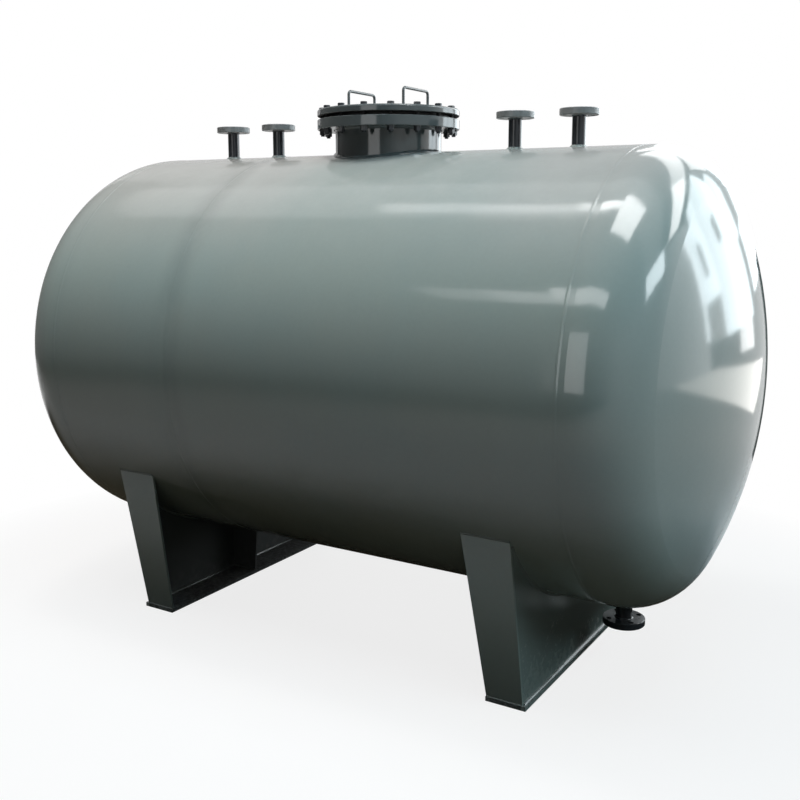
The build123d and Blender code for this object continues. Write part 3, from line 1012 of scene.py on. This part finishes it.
class FUELTANK_OT_set_stage(bpy.types.Operator):
    """Lay the floor, hang the lights and stand the camera"""

    bl_idname = "fuel_tank.set_stage"
    bl_label = "Set Stage"

    def execute(self, context):
        studio = context.scene.tank_studio
        context.scene.view_settings.view_transform = "Standard"
        self.lay_floor(studio)
        self.light_world(context, studio)
        self.hang_lights(studio)
        self.stand_cards()
        self.stand_camera(context, studio)
        return {"FINISHED"}

    def lay_floor(self, studio):
        mesh = bmesh.new()
        bmesh.ops.create_circle(mesh, cap_ends=True, radius=FLOOR_RADIUS, segments=64)
        data = bpy.data.meshes.new("floor")
        mesh.to_mesh(data)
        mesh.free()
        data.materials.append(self.floor_paint(studio))
        floor = bpy.data.objects.new("floor", data)
        floor.location.z = -FLOOR_DROP
        bpy.context.scene.collection.objects.link(floor)

    def floor_paint(self, studio):
        """Floor that is pale for the camera, but throws light back as a dull one does."""
        material, finish = new_finish("floor_paint")
        place = finish.place()
        x, y, _ = finish.axes(place)
        path = finish.node("ShaderNodeLightPath").socket.node.outputs
        seen = Tone(finish, path["Is Camera Ray"])
        glossy = Tone(finish, path["Is Glossy Ray"])
        mirrored = glossy.at_least(Tone(finish, path["Is Transmission Ray"]))

        grain = finish.noise(place, 3.0, 4.0)
        colour = finish.shade(tuple(studio.floor_colour)[:3], 0.97 + 0.06 * grain)
        lit = finish.node("ShaderNodeBsdfDiffuse", sockets={"Color": colour})
        glow = finish.node("ShaderNodeEmission", sockets={"Color": (1, 1, 1, 1), "Strength": 1.0})
        share = (distance(x, y).ramp(*FLOOR_FADE) + FLOOR_GLOW * seen).at_most(1.0)
        pale = finish.node("ShaderNodeMixShader", sockets={0: share, 1: lit, 2: glow})

        left_shade, right_shade = FLOOR_SHADES
        shade = finish.mix(x.ramp(0.3, 1.8), left_shade, right_shade)
        dull = finish.node("ShaderNodeBsdfDiffuse", sockets={"Color": shade})
        # The gloss shows the pale floor away from the tank, and the dull floor as a painted shadow
        # under and beside the tank and as painted shade far off at the front left
        beyond = (x - 1.0).at_least(-3.0 - x).at_least(0.0)
        clear = distance(beyond, y).ramp(0.35, 1.5)
        clear = clear * (1.0 - 0.9 * (-0.6 * x - 0.8 * y).ramp(1.2, 6.0))
        visible = seen.at_least(mirrored * clear)
        mixed = finish.node("ShaderNodeMixShader", sockets={0: visible, 1: dull, 2: pale})
        finish.node("ShaderNodeOutputMaterial", sockets={"Surface": mixed})
        return material

    def light_world(self, context, studio):
        world = bpy.data.worlds.new("studio")
        context.scene.world = world
        world.use_nodes = True
        finish = Finish(world.node_tree)
        path = finish.node("ShaderNodeLightPath").socket.node.outputs
        seen = Tone(finish, path["Is Camera Ray"])
        for ray in ("Is Glossy Ray", "Is Transmission Ray"):
            seen = seen.at_least(Tone(finish, path[ray]))
        white = finish.node(
            "ShaderNodeBackground", sockets={"Color": (1, 1, 1, 1), "Strength": 1.0})
        faint = finish.node(
            "ShaderNodeBackground",
            sockets={"Color": (0.9, 0.97, 1, 1), "Strength": studio.ambient})
        mixed = finish.node("ShaderNodeMixShader", sockets={0: seen, 1: faint, 2: white})
        finish.node("ShaderNodeOutputWorld", sockets={"Surface": mixed})

    def hang_lights(self, studio):
        for name, centre, target, size, setting, tint in SOFT_LIGHTS:
            light = area_light(name, centre, target, *size, getattr(studio, setting), glossy=False)
            light.data.color = tint
        for name, low, high, brightness, tint in MIRRORED_LIGHTS:
            low, high = Vector(low), Vector(high)
            centre = (low + high) / 2
            size = high - low
            if size.z == 0:
                facing = Vector((centre.x, centre.y, AXIS_Z))
                width, height = size.x, size.y
            else:
                facing = Vector((centre.x if size.x else 0, centre.y if size.y else 0, centre.z))
                width, height = size.x or size.y, size.z
            light = area_light(name, centre, facing, width, height, brightness, diffuse=False)
            light.data.color = tint
        centre, size, brightness, turn = SLANTED_LIGHT
        below = (centre[0], centre[1], 0)
        slanted = area_light("slanted_roof_light", centre, below, *size, brightness, diffuse=False)
        slanted.rotation_euler.z += turn

    def stand_cards(self):
        """Cards that neither the camera nor the light sees, only the gloss."""
        for name, low, high, first, last in CARDS:
            low, high = Vector(low), Vector(high)
            if low.z == high.z:
                corners = [low, (high.x, low.y, low.z), high, (low.x, high.y, low.z)]
            else:
                corners = [low, (high.x, high.y, low.z), high, (low.x, low.y, high.z)]
            mesh = bmesh.new()
            mesh.faces.new([mesh.verts.new(corner) for corner in corners])
            data = bpy.data.meshes.new(name)
            mesh.to_mesh(data)
            mesh.free()
            material, finish = new_finish(name + "_paint")
            if first == last:
                colour = (first, first, first, 1)
            else:
                x, y, _ = finish.axes(finish.place())
                run = x.ramp(low.x, high.x) if low.x < high.x else y.ramp(low.y, high.y)
                colour = finish.shade((1, 1, 1), first + (last - first) * run)
            glow = finish.node("ShaderNodeEmission", sockets={"Color": colour, "Strength": 1.0})
            finish.node("ShaderNodeOutputMaterial", sockets={"Surface": glow})
            data.materials.append(material)
            card = bpy.data.objects.new(name, data)
            bpy.context.scene.collection.objects.link(card)
            for ray in ("camera", "diffuse", "transmission", "volume_scatter", "shadow"):
                setattr(card, "visible_" + ray, False)

    def stand_camera(self, context, studio):
        lens = bpy.data.cameras.new("photo_camera")
        camera = bpy.data.objects.new("photo_camera", lens)
        context.scene.collection.objects.link(camera)
        camera.location = studio.eye
        camera.rotation_euler = Euler((math.radians(90) - studio.pitch, 0, studio.yaw), "XYZ")
        lens.lens = studio.lens
        lens.sensor_width = 36
        lens.shift_y = studio.rise
        lens.clip_end = 200
        context.scene.camera = camera


class FUELTANK_PT_dressing(bpy.types.Panel):
    """Sizes, colours and steps of the tank's dressing"""

    bl_idname = "FUELTANK_PT_dressing"
    bl_label = "Fuel Tank"
    bl_space_type = "VIEW_3D"
    bl_region_type = "UI"
    bl_category = "Fuel Tank"

    def draw(self, context):
        scene = context.scene
        for title, group in (("Paint", scene.tank_paint), ("Welds", scene.tank_welds),
                             ("Bolts", scene.tank_bolts), ("Studio", scene.tank_studio)):
            box = self.layout.box()
            box.label(text=title)
            for name in group.__annotations__:
                box.prop(group, name)
        for step in STEPS:
            self.layout.operator(step.bl_idname)


GROUPS = {
    "tank_paint": TankPaint,
    "tank_welds": TankWelds,
    "tank_bolts": TankBolts,
    "tank_studio": TankStudio,
}
STEPS = (
    FUELTANK_OT_set_stage,
    FUELTANK_OT_paint_shell,
    FUELTANK_OT_paint_saddles,
    FUELTANK_OT_paint_fittings,
    FUELTANK_OT_weld_seams,
    FUELTANK_OT_weld_fittings,
    FUELTANK_OT_weld_saddles,
    FUELTANK_OT_bolt_manhole,
)
CLASSES = (*GROUPS.values(), *STEPS, FUELTANK_PT_dressing)


def register():
    for kind in CLASSES:
        bpy.utils.register_class(kind)
    for name, kind in GROUPS.items():
        setattr(bpy.types.Scene, name, PointerProperty(type=kind))


def unregister():
    for name in GROUPS:
        delattr(bpy.types.Scene, name)
    for kind in reversed(CLASSES):
        bpy.utils.unregister_class(kind)


def main():
    register()
    bpy.ops.fuel_tank.set_stage()
    bpy.ops.fuel_tank.paint_shell()
    bpy.ops.fuel_tank.paint_saddles()
    bpy.ops.fuel_tank.paint_fittings()
    bpy.ops.fuel_tank.weld_seams()
    bpy.ops.fuel_tank.weld_fittings()
    bpy.ops.fuel_tank.weld_saddles()
    bpy.ops.fuel_tank.bolt_manhole()


if __name__ == "__main__":
    main()
